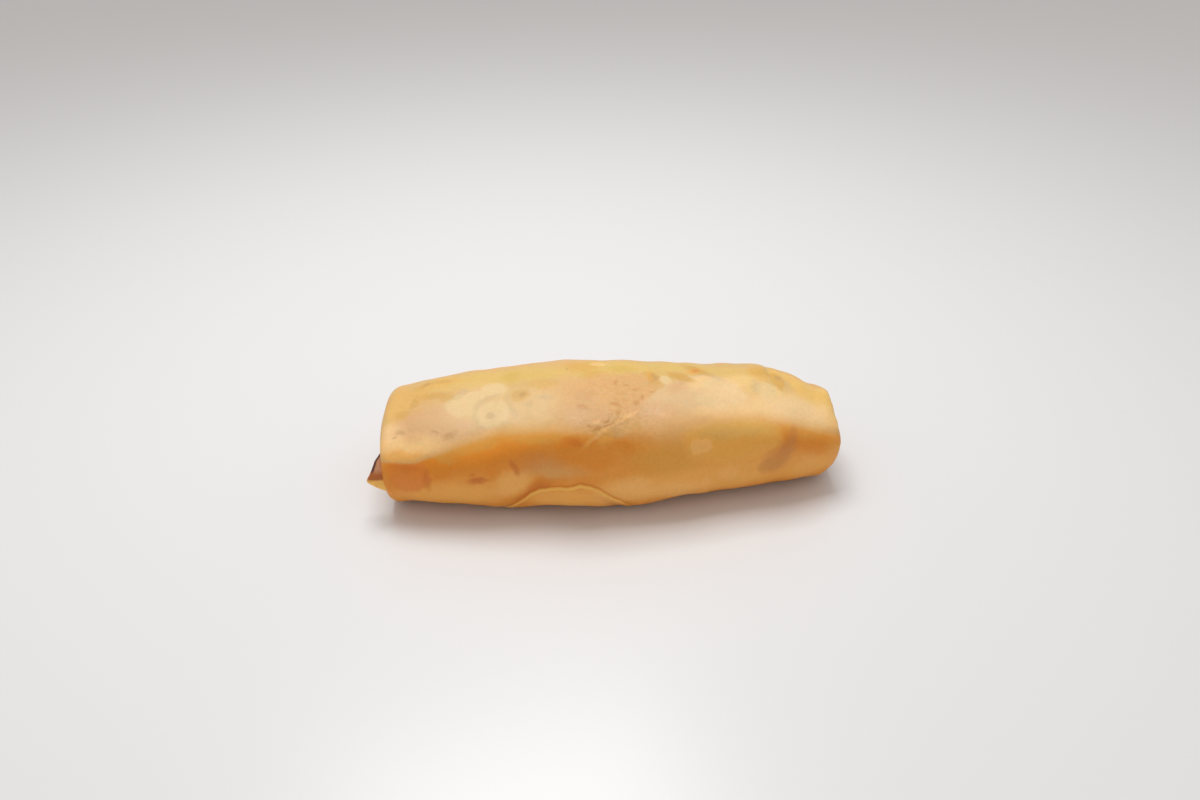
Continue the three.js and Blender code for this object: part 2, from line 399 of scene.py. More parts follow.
# The edges of layers below, which print through as soft steps: where each starts and ends, its
# height, how far it takes to level out, its soft ends, and how far it bows sideways.
STEPS = (
    ((5.9, 128.4), (24.6, 77.6), 0.22, 9.0, 4.0, 4.0, 1.2),
    ((41.9, 38.5), (42.6, 112), 0.3, 6.0, 4.0, 8.0, 0.0),
    ((39.6, 24.6), (38.6, 78), 0.45, 3.5, 4.0, 4.0, 0.0),
)
STEP_SOFTNESS = 0.5
# A pleat that runs over the ridge near the middle: a crooked crest with a groove beside it.
CREASE = ((-8.5, 158), (5.5, 131))
CREST_HEIGHT, CREST_WIDTH = 0.2, 0.6
GROOVE_DEPTH, GROOVE_WIDTH, GROOVE_BESIDE = 0.1, 1.0, 1.3


def creases(x, around_mm):
    """The raised lines of the skin."""
    rise = np.zeros_like(x)
    for start, end, height, fall, fade_in, fade_out, bow in STEPS:
        along, beside, length = line_place(x, around_mm, start, end)
        held = smooth(along, 0, fade_in) * (1 - smooth(along, length - fade_out, length))
        beside = beside - bow * np.sin(np.pi * np.clip(along / length, 0, 1))
        levelled = bell(np.maximum(beside, 0) / fall)
        rise += height * held * smooth(beside, -STEP_SOFTNESS, STEP_SOFTNESS) * levelled
    along, beside, length = line_place(x, around_mm, *CREASE)
    held = smooth(along, -1, 2) * (1 - smooth(along, length - 3, length))
    beside = beside + 0.35 * np.sin(1.3 * along) + 0.16 * np.sin(3.3 * along + 2)
    rise += CREST_HEIGHT * held * bell(beside / CREST_WIDTH) * (0.6 + 0.4 * np.sin(2.6 * along + 1))
    rise -= GROOVE_DEPTH * held * bell((beside - GROOVE_BESIDE) / GROOVE_WIDTH)
    return rise


# Small unevenness: height, size of the bumps, and the seed of their pattern.
RIPPLES = ((1.0, 7.0, 3), (0.45, 3.1, 5))
RIPPLE_WAVES, RIPPLE_SHARE = 14, 0.2  # how many waves each is the sum of, and the height of one
GRAINY_RIPPLE = (0.7, 1.9, 8)
GRAINY_PLACE = (0.5, 120)  # the middle of the rough patch: x and angle
GRAINY_SIZE = (8, 26)  # how far it reaches along the roll, and around it in degrees


def relief(x, angle, settings):
    """The skin's raised lines and its small unevenness."""
    around_mm = turn_between(angle, TOP) * ARC
    uneven = sum(height * ripple(x, around_mm, size, seed) for height, size, seed in RIPPLES)
    grainy = bell((x - GRAINY_PLACE[0]) / GRAINY_SIZE[0]) * bell((angle - GRAINY_PLACE[1]) / GRAINY_SIZE[1])
    height, size, seed = GRAINY_RIPPLE
    uneven += height * grainy * ripple(x, around_mm, size, seed)
    return settings.creases * creases(x, around_mm) + settings.unevenness / MM * uneven


def solid_flap_height(x, inside):
    """How high the solid's flap stands where the separate flap covers the skin."""
    under_flap = flap_there(x) * smooth(inside, -2, 1) * (1 - smooth(inside * ARC, *UNDER_FLAP_DEPTH))
    under_flap = under_flap * (1 - smooth(inside + solid_flap_edge(x), *UNDER_FLAP_END))
    return under_flap * (SHEET + CURL * bell((x - SOLID_TIP_X) / CURL_LENGTH) * bell(inside / CURL_SPREAD))


def sculpt_skin(skin, settings):
    """Takes the solid's flap off the skin, and gives it dents, creases and its drawn-out end."""
    points = points_of(skin)
    angle = around(points)[0]
    x = points[:, 0]
    on_side = smooth(x, LEFT_END, LEFT_END + LEFT_FADE)
    on_side *= 1 - smooth(x, RIGHT_END - RIGHT_FADE, RIGHT_END)
    inside = inside_edge(angle, solid_flap_edge(x))
    rise = -solid_flap_height(x, inside)
    for at, around_at, length, spread, height in DENTS:
        dent = height * bell((x - at) / length) * bell(turn_between(angle, around_at) / spread)
        rise += dent * settings.dents
    points = push_out(points, on_side * rise)
    near_edge = bell(inside * ARC / EDGE_REACH) * on_side
    points = smooth_points(skin, points, SMOOTHING * near_edge, EDGE_ROUNDS)
    points = smooth_points(skin, points, SMOOTHING * on_side, SIDE_ROUNDS)
    draw_out_end(points)
    points = push_out(points, on_side * relief(points[:, 0], around(points)[0], settings))
    move_points(skin, points)


def draw_out_end(points):
    """Draws the right end out, and gives its rim corners."""
    y, z = axis_at(points[:, 0])
    low_front = np.clip((y - points[:, 1] + z - points[:, 2]) / LOW_FRONT, -1, 1)
    angle, radius = around(points)
    corners = sum(reach * bell(turn_between(angle, at) / spread) for at, spread, reach in RIM_CORNERS)
    out = DRAWN_OUT + DRAWN_OUT_LOW * low_front + corners * smooth(radius, *RIM_RADIUS)
    points[:, 0] += out * smooth(points[:, 0], *DRAWN_OUT_X)


# ---- Flap ------------------------------------------------------------------------------------

FLAP_DEPTH = 17.0  # how far it is followed inwards
FLAP_LYING = (6, 14)  # the depths over which it becomes one with the skin
FLAP_COLUMNS = 300
FLAP_ROWS = 60
FLAP_CROWDING = 1.7  # how much closer its rows are at the free edge
FLAP_SUNK = 0.25  # how far its other borders are inside the skin
FLAP_INNER = 0.35  # how far its underside is inside the skin
SLOPE_STEPS, EVENED = 400, 25  # the places where its edge's slope is taken, and how many are averaged
SWELL_LENGTH, SWELL_DEPTH = 10, 4  # how far the swollen tip reaches along the roll, and inwards
FAR_OUT = 60.0  # a distance from the axis that is outside the roll


def cast_to_skin(skin, x, angle):
    """The skin's distance from the axis at places on it, looked for from the outside."""
    tree = BVHTree.FromObject(skin, bpy.context.evaluated_depsgraph_get())
    y, z = axis_at(x)
    turned = np.radians(angle)
    radius = np.empty_like(x)
    for i in range(len(x)):
        axis = Vector((x[i], y[i], z[i]))
        away = Vector((0, math.cos(turned[i]), math.sin(turned[i])))
        hit = tree.ray_cast((axis + away * FAR_OUT) * MM, -away)[0]
        radius[i] = (hit / MM - axis).length
    return radius


def edge_slope(x):
    """The free edge's slope, evened out: millimetres around the roll for one along it."""
    steps = np.linspace(FLAP_LEFT[0], FLAP_RIGHT[1], SLOPE_STEPS)
    slopes = np.pad(np.gradient(flap_edge(steps), steps), EVENED // 2, mode="edge")
    slopes = np.convolve(slopes, np.ones(EVENED) / EVENED, mode="valid")
    return np.interp(x, steps, slopes) * ARC


def make_flap(skin, settings):
    """The last corner of the sheet, a thin separate layer that lies on the skin."""
    flap, along, across = add_grid("front_flap", FLAP_COLUMNS, FLAP_ROWS)
    x = FLAP_LEFT[0] + along * (FLAP_RIGHT[1] - FLAP_LEFT[0])
    depth = FLAP_DEPTH * (1 - across) ** FLAP_CROWDING
    # The depth is measured at right angles to the free edge.
    angle = flap_edge(x) + depth * np.hypot(1, edge_slope(x)) / ARC
    radius = cast_to_skin(skin, x, angle)
    swollen = bell((x - FLAP_TIP_X) / SWELL_LENGTH) * bell(depth / SWELL_DEPTH)
    thick = settings.thickness * (0.7 + 0.3 * smooth(depth, 0, 3)) + settings.swell * swollen
    thick = thick / MM * (1 - FLAP_THINNED * bell((x - FLAP_THIN_X) / FLAP_THIN_LENGTH))
    lying = flap_there(x) * (1 - smooth(depth, *FLAP_LYING))
    height = thick * rounded(depth, settings.rim / MM) * lying - FLAP_SUNK * (1 - lying)
    apply_modifier(flap, "SOLIDIFY", thickness=settings.thickness, offset=-1)
    outer = place_around(x, angle, radius + height)
    inner = place_around(x, angle, radius - FLAP_INNER)
    move_points(flap, np.concatenate([outer, inner]))
    return flap


# ---- Folded ends -----------------------------------------------------------------------------

# The folded ends. Lengths count inwards from the outer turn's rim, and offsets from the skin.
ENDS = {
    "left": {
        "side": -1,
        "rim": LEFT_END,
        "lean": 0.9,  # how far the rim stands back at lean_angle
        "lean_angle": 290,
        "inside_x": -45.5,  # where the skin's section is taken
        "wall": 2.4,  # thickness of the outer turn
        "hollow": 3.4,  # how far the inside is set back
        "first_offset": 2.2,
        "last_offset": 8.7,
        "start_angle": 95,  # where the wound strip begins
        "winds": 1,  # which way round it goes
        "has_tongue": True,
    },
    "right": {
        "side": 1,
        "rim": RIGHT_END - 0.5,
        "lean": 2.0,
        "lean_angle": 50,
        "inside_x": 46.5,
        "wall": 3.0,
        "hollow": 2.6,
        "first_offset": 2.9,
        "last_offset": 8.4,
        "start_angle": 300,
        "winds": -1,
        "has_tongue": False,
    },
}
SECTION_STEP = 3.0  # degrees between the points of the skin's section
SECTION_EVENED = 3  # how many points on either side each is evened out with
OVAL_POWER = 2.5  # 2 would be an ellipse, and more is squarer
TURN_COLUMNS = 520
TURN_ROWS = 26
TURN_CROWDING = 1.8  # how much closer its rows are at the folded edge
BLUNT_EDGE = 0.005  # what the rounding of the folded edge leaves out, so that it isn't a knife edge
# The tongue, a turn that has slipped out of the left end, by the angle around it: where it
# starts, the middle of its flat face, its tip, its foot and its end.
TONGUE_FROM, TONGUE_FACE, TONGUE_TIP, TONGUE_FOOT, TONGUE_TO = 134, 164, 182, 191, 195
TONGUE_BEND = 2.1  # 1 would make its edge straight, and more bends it out towards the tip


def rim_at(end, angle):
    """The x of an end's rim at an angle."""
    lean = 0.5 + 0.5 * np.cos(np.radians(angle - end["lean_angle"]))
    return end["rim"] - end["side"] * end["lean"] * lean


def section_radius(end, angle):
    """The distance from the axis to the skin, in the section just inside an end."""
    return np.interp(angle % 360, end["angles"], end["radii"], period=360)


def inset_radius(end, angle, inset):
    """The same for a section that is smaller by an inset all around."""
    half_width = (section_radius(end, 0) + section_radius(end, 180)) / 2
    half_height = (section_radius(end, 90) + section_radius(end, 270)) / 2
    across, upright = np.abs(np.cos(np.radians(angle))), np.abs(np.sin(np.radians(angle)))

    def oval(inset):
        wide, high = across / (half_width - inset), upright / (half_height - inset)
        return (wide ** OVAL_POWER + high ** OVAL_POWER) ** (-1 / OVAL_POWER)

    return section_radius(end, angle) * oval(inset) / oval(0)


def wind(end, turns, course):
    """The y and z of the wound strip's middle, and the angle reached there."""
    turned = end["start_angle"] + end["winds"] * 360 * turns * course
    inset = end["first_offset"] + (end["last_offset"] - end["first_offset"]) * course
    inset += 0.22 * np.sin(np.radians(1.7 * turned + 60)) * smooth(course, 0.1, 0.3)
    if end["has_tongue"]:
        inset += 0.45 * bell((turned - TONGUE_FACE) / 12) - 0.45 * bell((turned - TONGUE_FOOT) / 7)
    radius = inset_radius(end, turned, inset)
    y, z = axis_at(rim_at(end, turned))
    return y + radius * np.cos(np.radians(turned)), z + radius * np.sin(np.radians(turned)), turned


def measure_end(skin, name):
    """The sizes of an end, with the skin's section just inside it."""
    end = dict(ENDS[name])
    end["angles"] = np.arange(0, 360, SECTION_STEP)
    at = np.full_like(end["angles"], end["inside_x"])
    radii = cast_to_skin(skin, at, end["angles"])
    shifts = range(-SECTION_EVENED, SECTION_EVENED + 1)
    end["radii"] = sum(np.roll(radii, shift) for shift in shifts) / len(shifts)
    return end


def hollow_out(skin, end):
    """Sets the inside of an end back, so that the outer turn stands around it as a wall, and gives the share
    of each point in that set-back inside, which the pastry material paints dark as shade.
    """
    points = points_of(skin)
    angle, radius = around(points)
    near = (points[:, 0] - end["inside_x"]) * end["side"] > 0
    offset = section_radius(end, angle) - radius
    wall = end["wall"] + 0.15 * np.sin(np.radians(3 * angle + 40)) + 0.1 * np.sin(np.radians(7 * angle))
    set_back = end["hollow"] * smooth(offset, wall, wall + 1.1)
    lean = 0.5 + 0.5 * np.cos(np.radians(angle - end["lean_angle"])) * radius / section_radius(end, angle)
    inner_x = end["rim"] - end["side"] * (end["lean"] * lean + set_back)
    share = np.where(near, smooth(offset, wall - 0.3, wall + 0.2), 0)
    points[:, 0] += share * (inner_x - points[:, 0])
    near_wall = near * bell((offset - wall - 0.4) / 1.2)
    points = smooth_points(skin, points, 0.5 * near_wall, 3)
    move_points(skin, points)
    return np.where(near, smooth(offset, wall - 0.1, wall + 0.7), 0)


def through_strip(end, turns, course):
    """The y and z of the direction straight through the wound strip."""
    step = 0.0005
    ahead, behind = wind(end, turns, course + step), wind(end, turns, course - step)
    along_y, along_z = ahead[0] - behind[0], ahead[1] - behind[1]
    length = np.hypot(along_y, along_z) * end["winds"]
    return along_z / length, -along_y / length


def strip_thickness(end, even, course, turned):
    """The wound strip's thickness, from an even one: less at both its ends and on the tongue."""
    thick = even * (1 + 0.14 * np.sin(np.radians(2.3 * turned)))
    thick = thick * smooth(course, -0.03, 0.05) * smooth(1 - course, -0.04, 0.06)
    if end["has_tongue"]:
        thinned = 0.5 * bell((turned - TONGUE_FACE) / 18) - 0.15 * bell((turned - TONGUE_FOOT) / 7)
        thick = thick * (1 - thinned)
    return thick


def tongue_shape(turned):
    """How far the tongue reaches out at an angle, as a share of its reach at the tip."""
    rise = np.clip((turned - TONGUE_FROM) / (TONGUE_TIP - TONGUE_FROM), 0, 1) ** TONGUE_BEND
    return np.minimum(rise, smooth(-turned, -TONGUE_TO, -TONGUE_TIP))


def make_turns(skin, name, settings):
    """The inner turns of the sheet, folded over at an end: a long strip wound inwards."""
    end = measure_end(skin, name)
    turns = getattr(settings, name + "_turns")
    tongue = settings.tongue / MM if end["has_tongue"] else 0
    deepest = settings.depth / MM
    # The strip's course runs from the outer turn to the middle.
    strip, course, across = add_grid(name + "_turns", TURN_COLUMNS, TURN_ROWS)
    depth = deepest * across ** TURN_CROWDING
    y, z, turned = wind(end, turns, course)
    through_y, through_z = through_strip(end, turns, course)
    thick = strip_thickness(end, settings.thickness / MM, course, turned)
    half = thick / 2 * rounded(depth + BLUNT_EDGE, thick / 2 + BLUNT_EDGE)
    first_turn = course * turns < 0.8
    out = tongue * first_turn * tongue_shape(turned)
    sunk = 0.9 + 0.5 * np.sin(np.radians(0.8 * turned + 20)) + 0.25 * np.sin(np.radians(3.1 * turned))
    sunk = np.where(out > 0, np.maximum(sunk - out, 0), sunk) + 0.6 * course
    x = rim_at(end, turned) - end["side"] * (sunk + depth * (1 + out / deepest) - out)
    apply_modifier(strip, "SOLIDIFY", thickness=settings.thickness / 3, offset=-1)
    outer = np.stack([x, y + through_y * half, z + through_z * half], 1)
    inner = np.stack([x, y - through_y * half, z - through_z * half], 1)
    move_points(strip, np.concatenate([outer, inner]))
    on_tongue = (turned - TONGUE_FROM) / (TONGUE_TO - TONGUE_FROM)
    on_tongue = on_tongue if end["has_tongue"] else np.full_like(turned, -1)
    lay_out_turns(strip, np.tile(depth, 2), np.tile(on_tongue, 2))
    return strip


def lay_out_turns(strip, depth, on_tongue):
    """Adds a UV map "fold": the depth below the folded edge, and the way down the tongue."""
    mesh = strip.data
    corners = read_items(mesh.loops, "vertex_index")
    layer = mesh.uv_layers.new(name="fold")
    layer.data.foreach_set("uv", np.stack([depth, on_tongue], 1)[corners].ravel())


# ---- Materials -------------------------------------------------------------------------------

def srgb(red, green, blue):
    """A colour as Blender wants it, from the usual 0 to 255."""
    def linear(value):
        value /= 255
        return value / 12.92 if value <= 0.04045 else ((value + 0.055) / 1.055) ** 2.4
    return (linear(red), linear(green), linear(blue), 1.0)


PALETTE = {
    "tan": srgb(213, 175, 110),
    "peach": srgb(217, 174, 114),
    "cream": srgb(226, 197, 144),
    "silk": srgb(219, 184, 134),
    "butter": srgb(240, 202, 138),
    "custard": srgb(250, 212, 162),
    "straw": srgb(219, 184, 102),
    "olive": srgb(208, 174, 82),
    "gold": srgb(212, 165, 78),
    "honey": srgb(222, 175, 94),
    "sun": srgb(234, 189, 100),
    "mauve": srgb(212, 165, 116),
    "ash": srgb(206, 177, 128),
    "clay": srgb(217, 169, 109),
    "dusk": srgb(190, 146, 92),
    "amber": srgb(235, 150, 48),
    "ember": srgb(232, 142, 33),
    "rust": srgb(233, 137, 44),
    "apricot": srgb(248, 180, 86),
    "biscuit": srgb(229, 171, 96),
    "ochre": srgb(228, 165, 66),
    "corn": srgb(243, 177, 78),
    "glow": srgb(253, 190, 108),
    "lemon": srgb(255, 197, 96),
    "russet": srgb(210, 112, 26),
    "chestnut": srgb(186, 104, 34),
    "plum": srgb(206, 134, 68),
    "crust": srgb(222, 160, 82),
    "toast": srgb(212, 143, 68),
    "cocoa": srgb(128, 72, 34),
    "maroon": srgb(96, 54, 42),
    "rose": srgb(208, 148, 106),
    "vanilla": srgb(255, 204, 134),
    "brass": srgb(222, 159, 66),
    "bronze": srgb(205, 160, 80),
    "umber": srgb(190, 133, 68),
}


def add_node(tree, kind, inputs=None, **properties):
    """Adds a node, sets its properties, and fills its inputs with values or links."""
    node = tree.nodes.new(kind)
    for name, value in properties.items():
        setattr(node, name, value)
    for name, value in (inputs or {}).items():
        if isinstance(value, bpy.types.NodeSocket):
            tree.links.new(value, node.inputs[name])
        else:
            node.inputs[name].default_value = value
    return node


def calculate(tree, operation, *values):
    return add_node(tree, "ShaderNodeMath", dict(enumerate(values)), operation=operation).outputs[0]


def multiply(tree, first, second):
    return calculate(tree, "MULTIPLY", first, second)


def vector_math(tree, operation, *values):
    return add_node(tree, "ShaderNodeVectorMath", dict(enumerate(values)), operation=operation)


def blend(tree, share, below, above):
    """One colour with another laid over it, which may be given by its name in the palette."""
    inputs = {0: share, 6: below, 7: PALETTE[above] if isinstance(above, str) else above}
    return add_node(tree, "ShaderNodeMix", inputs, data_type="RGBA", clamp_factor=True).outputs[2]


def ramp(tree, value, low, high, start=0.0, end=1.0):
    """A soft rise from start to end while the value goes from low to high."""
    inputs = {"Value": value, "From Min": low, "From Max": high, "To Min": start, "To Max": end}
    node = add_node(tree, "ShaderNodeMapRange", inputs, interpolation_type="SMOOTHSTEP")
    return node.outputs[0]


def ramp_around(tree, around_mm, angles, start=0.0, end=1.0):
    """A soft rise between two angles of the unrolled skin."""
    return ramp(tree, around_mm, way_around(angles[0]), way_around(angles[1]), start, end)


def band(tree, value, rise, fall):
    """1 between a soft rise and a soft fall, each given by the values over which it happens."""
    return multiply(tree, ramp(tree, value, *rise), ramp(tree, value, *reversed(fall)))


def noise(tree, place, size, detail=3.0, roughness=0.5):
    """Noise with features of a size in millimetres."""
    inputs = {"Vector": place, "Scale": 1 / (size * MM), "Detail": detail, "Roughness": roughness}
    return add_node(tree, "ShaderNodeTexNoise", inputs, noise_dimensions="3D")


def coordinates(tree, uv_map):
    """The first and the second coordinate of a UV map."""
    place = add_node(tree, "ShaderNodeUVMap", uv_map=uv_map).outputs[0]
    return add_node(tree, "ShaderNodeSeparateXYZ", {0: place}).outputs[:2]


def places_on_piece(tree):
    return add_node(tree, "ShaderNodeTexCoord").outputs["Object"]


def new_material(name):
    """A material, and its node tree without any nodes."""
    material = bpy.data.materials.new(name)
    material.use_nodes = True
    material.node_tree.nodes.clear()
    return material, material.node_tree


def set_surface(tree, properties):
    shader = add_node(tree, "ShaderNodeBsdfPrincipled", properties)
    out = add_node(tree, "ShaderNodeOutputMaterial")
    tree.links.new(shader.outputs[0], out.inputs[0])


def new_group(name, inputs, outputs):
    """A shader node group, with its inputs as sockets to read and its outputs as sockets to fill."""
    group = bpy.data.node_groups.new(name, "ShaderNodeTree")
    for in_out, sockets in (("INPUT", inputs), ("OUTPUT", outputs)):
        for socket, kind in sockets.items():
            group.interface.new_socket(socket, in_out=in_out, socket_type="NodeSocket" + kind)
    return group, group.nodes.new("NodeGroupInput").outputs, group.nodes.new("NodeGroupOutput").inputs


def soft_oval_group():
    """A soft-edged oval on the unrolled skin."""
    inputs = {"Place": "Vector", "Centre": "Vector", "Size": "Vector", "Turn": "Float", "Softness": "Float"}
    group, given, wanted = new_group("SoftOval", inputs, {"Mask": "Float"})
    offset = vector_math(group, "SUBTRACT", given["Place"], given["Centre"])
    turned = add_node(group, "ShaderNodeVectorRotate", {"Vector": offset.outputs[0], "Angle": given["Turn"]},
                      rotation_type="Z_AXIS")
    scaled = vector_math(group, "DIVIDE", turned.outputs[0], given["Size"])
    far = vector_math(group, "LENGTH", scaled.outputs[0]).outputs["Value"]
    inner = calculate(group, "SUBTRACT", 1.0, given["Softness"])
    outer = calculate(group, "ADD", 1.0, given["Softness"])
    group.links.new(ramp(group, far, outer, inner), wanted["Mask"])
    return group


def grain_group():
    """The fine grain of a fried surface: it makes a colour lighter and darker, and gives a height."""
    inputs = {"Place": "Vector", "Colour": "Color", "Darkest": "Float", "Lightest": "Float"}
    group, given, wanted = new_group("Grain", inputs, {"Colour": "Color", "Height": "Float"})
    grain = noise(group, given["Place"], GRAIN_SIZE, 3.0, 0.65).outputs["Fac"]
    shade = ramp(group, grain, 0.3, 0.7, given["Darkest"], given["Lightest"])
    tint = add_node(group, "ShaderNodeVectorMath", {0: given["Colour"], "Scale": shade}, operation="SCALE")
    group.links.new(tint.outputs[0], wanted["Colour"])
    group.links.new(grain, wanted["Height"])
    return group


def add_grain(tree, place, colour, darkest, lightest):
    """The grained colour, and the grain's height."""
    group = bpy.data.node_groups.get("Grain") or grain_group()
    inputs = {"Place": place, "Colour": colour, "Darkest": darkest, "Lightest": lightest}
    return add_node(tree, "ShaderNodeGroup", inputs, node_tree=group).outputs[:2]


def bump(tree, height, distance, strength, normal=None):
    inputs = {"Height": height, "Distance": distance * MM, "Strength": strength}
    if normal is not None:
        inputs["Normal"] = normal
    return add_node(tree, "ShaderNodeBump", inputs).outputs[0]


def way_around(angle):
    """The unrolled skin's second coordinate at an angle."""
    return (angle - TOP) * ARC


def soft_oval(tree, group, place, x, angle, length, height, turn=0.0, softness=0.6):
    inputs = {
        "Place": place,
        "Centre": (x, way_around(angle), 0),
        "Size": (length, height, 1),
        "Turn": math.radians(-turn),
        "Softness": softness,
    }
    return add_node(tree, "ShaderNodeGroup", inputs, node_tree=group).outputs["Mask"]


# Marks of the pale top, of the browner front, and of both, from the first laid to the last: stains,
# and painted light and shade where it is noted. Each is a colour, strength, and each one's x, angle,
# half length, half height, turn in degrees and softness, of which the turn may be left out where it is
# 0 and the softness where it is 0.6.
TOP_STAINS_AND_PAINTED_LIGHT = (
    ("butter", 0.75, ((42, 134, 12, 7), (-30, 141, 5, 1.4, -6))),
    ("vanilla", 0.85, ((-43.5, 149, 9, 2.6, -3, 0.4), (52, 144, 3, 2))),
    ("butter", 0.6, ((-47, 136, 2.6, 3.4), (44.5, 140, 7, 3.2, 8, 0.5), (-43, 146, 5, 1.6))),
    ("apricot", 0.7, ((-45.5, 158.3, 5, 1.3, 0, 0.5),)),
    # Straw along the top's back edge: its yellow is partly a painted highlight on that edge.
    ("straw", 0.8, ((-26, 69, 16, 4, 0, 0.5), (-14, 77, 8, 2.5), (4, 68, 11, 3.2, 0, 0.5), (30, 84, 9, 6),
     (20, 64, 16, 3, 0, 0.5), (0, 77, 10, 2.6))),
    ("straw", 0.4, ((10, 76, 14, 4, 0, 0.7), (50, 80, 4, 6, 0, 0.7))),
    ("honey", 0.75, ((-47, 90, 3, 12, 0, 0.4), (-39, 62, 6, 3, 0, 0.5), (36, 78, 2.2, 6, 8, 0.5),
     (-43, 78, 4, 4))),
    ("sun", 0.85, ((47.5, 92, 4.2, 9, 0, 0.4), (51.5, 104, 2, 10, 0, 0.5), (44, 64, 5, 4, 0, 0.5))),
    ("gold", 0.65, ((-5, 69, 4, 2.8, 0, 0.5), (-3, 83, 2.4, 1.8, 0, 0.5), (-15, 95, 3.6, 2, 5),
     (10.5, 82, 1.6, 1.4, 0, 0.5), (37, 68, 2.4, 3, 0, 0.5))),
    ("olive", 0.6, ((-21.5, 70, 2, 2.6), (4, 74, 3, 1.6))),
    ("peach", 0.8, ((-39.5, 110, 5, 4, 0, 0.5), (-19, 127, 6, 3.4, 0, 0.5))),
    ("mauve", 0.75, ((-42.5, 130, 5.4, 4.2, 0, 0.35), (-36, 136, 8, 3, 6, 0.4), (-38, 122, 6, 3, -20, 0.5),
     (-29, 139, 5, 1.6, -8))),
    ("clay", 0.85, ((0.5, 116, 9.5, 8, -12, 0.3), (-5, 133, 7, 4, 5, 0.4), (6, 98, 6, 4.4, 0, 0.4),
     (10, 140, 4, 2), (0, 143, 4, 1.6))),
    ("dusk", 0.3, ((-6, 133, 5, 3), (-2, 138, 4, 1.6), (-5, 115, 2.4, 2.4))),
    ("silk", 0.95, ((18.2, 120.3, 14, 7, -35.5, 0.07),)),
    ("mauve", 0.6, ((9.5, 131, 5.5, 2.4), (16.5, 103, 3.4, 1.8, -35))),
    ("butter", 0.6, ((25.5, 106, 4.6, 3.6, 10, 0.5), (37.5, 113, 3, 3.4, 0, 0.45),
     (22, 98, 4, 2.6, -25, 0.4), (27, 133, 5, 2.2, 0, 0.5), (21.5, 133, 3, 1.2, 0, 0.5), (41, 130, 7, 3.4),
     (-1, 65, 1.8, 0.8, 4, 0.5), (31, 92, 4, 4))),
    ("cream", 0.5, ((-18, 117, 6, 6, 0, 0.8), (-28, 108, 7, 7))),
    ("cream", 0.65, ((26, 106, 4.4, 3.4, 10, 0.22), (22.5, 122, 3, 2, 0, 0.3),
     (28.6, 118, 2.4, 2.6, 0, 0.3), (36.4, 110, 2.1, 4.4, -8, 0.26), (42, 127, 5, 3, 4, 0.5))),
    ("cream", 0.85, ((-31.8, 109, 4.2, 4.6, 10, 0.2), (-29.6, 99, 3, 2.6, 20, 0.24),
     (-34.3, 104, 1.8, 1.6, 0, 0.3), (-24.9, 92, 2.8, 3.4, -25, 0.3), (13.7, 91, 1.2, 2.2, 0, 0.3))),
    ("ash", 0.6, ((-28.5, 114, 0.9, 3.2, 25), (-26.3, 105.5, 2.8, 0.9, -25), (-29, 129, 0.9, 2.4, -20),
     (-21.4, 120, 0.8, 3.6, -15), (-33.5, 96, 1.2, 1.5, 0, 0.5), (-32.4, 88, 1.2, 1.3, 0, 0.5),
     (34.3, 101, 1, 3, 0, 0.7), (-13.8, 113, 2, 1, 0, 0.7), (-17.6, 121, 0.9, 0.9),
     (-26, 137, 4, 0.8, 0, 0.7))),
    ("cream", 0.85, ((-25.4, 125, 3.6, 3.8, 0, 0.2),)),
    ("ash", 0.8, ((-25.8, 128, 1, 1.05, 0, 0.4),)),
    # Bronze at x -41.3, angle 62, is painted shade in a dimple.
    ("bronze", 0.6, ((-38.3, 88, 3.8, 1.7, 12, 0.5), (-36, 95, 1.8, 2.2, 0, 0.5), (-43.6, 94, 0.8, 3.6, 5),
     (-46, 112, 1.6, 1.8, 0, 0.5), (-19.4, 107, 1.8, 2.1, 0, 0.45), (11.2, 90, 1.4, 2.4, 0, 0.5),
     (-41.3, 62, 1.7, 1.5), (-37, 64, 2.4, 0.9, 10))),
    ("butter", 0.6, ((45.5, 130, 6.5, 4.4, 6),)),
    ("custard", 0.5, ((41.5, 134, 7.5, 3.8, 4),)),
    ("custard", 0.35, ((26, 136, 5, 2.2), (-47.5, 137, 2.4, 3), (27, 117, 5, 5, 0, 0.7))),
    ("silk", 0.4, ((-37, 127, 4.6, 6.4),)),
    ("gold", 0.8, ((40.3, 85, 1.7, 5.4, 3, 0.25),)),
    # The last dusk here, at x -41.2, angle 61, is painted shade in the same dimple.
    ("dusk", 0.55, ((-46, 137, 1.1, 0.8, 20), (-46.9, 142, 0.35, 0.3, 0, 0.5),
     (-34.6, 143.5, 1.4, 0.5, -30, 0.7), (-38, 141, 0.8, 0.4, 20), (-8.7, 73.5, 0.25, 0.5, 0, 0.5),
     (40.8, 78, 0.7, 1.4, 10, 0.5), (-19, 106.5, 0.9, 0.8, 0, 0.5), (11.5, 86, 1, 1.3),
     (-41.2, 61, 0.7, 0.6))),
    ("bronze", 0.85, ((17.4, 88, 1.6, 3.4, -42, 0.4), (21.5, 72, 1.8, 4, -40))),
    ("ochre", 0.45, ((10.4, 85, 0.8, 1.6), (21.2, 75, 1.3, 2.6, 40, 0.5))),
    ("russet", 0.42, ((21.6, 74, 0.8, 1.4, 40),)),
)
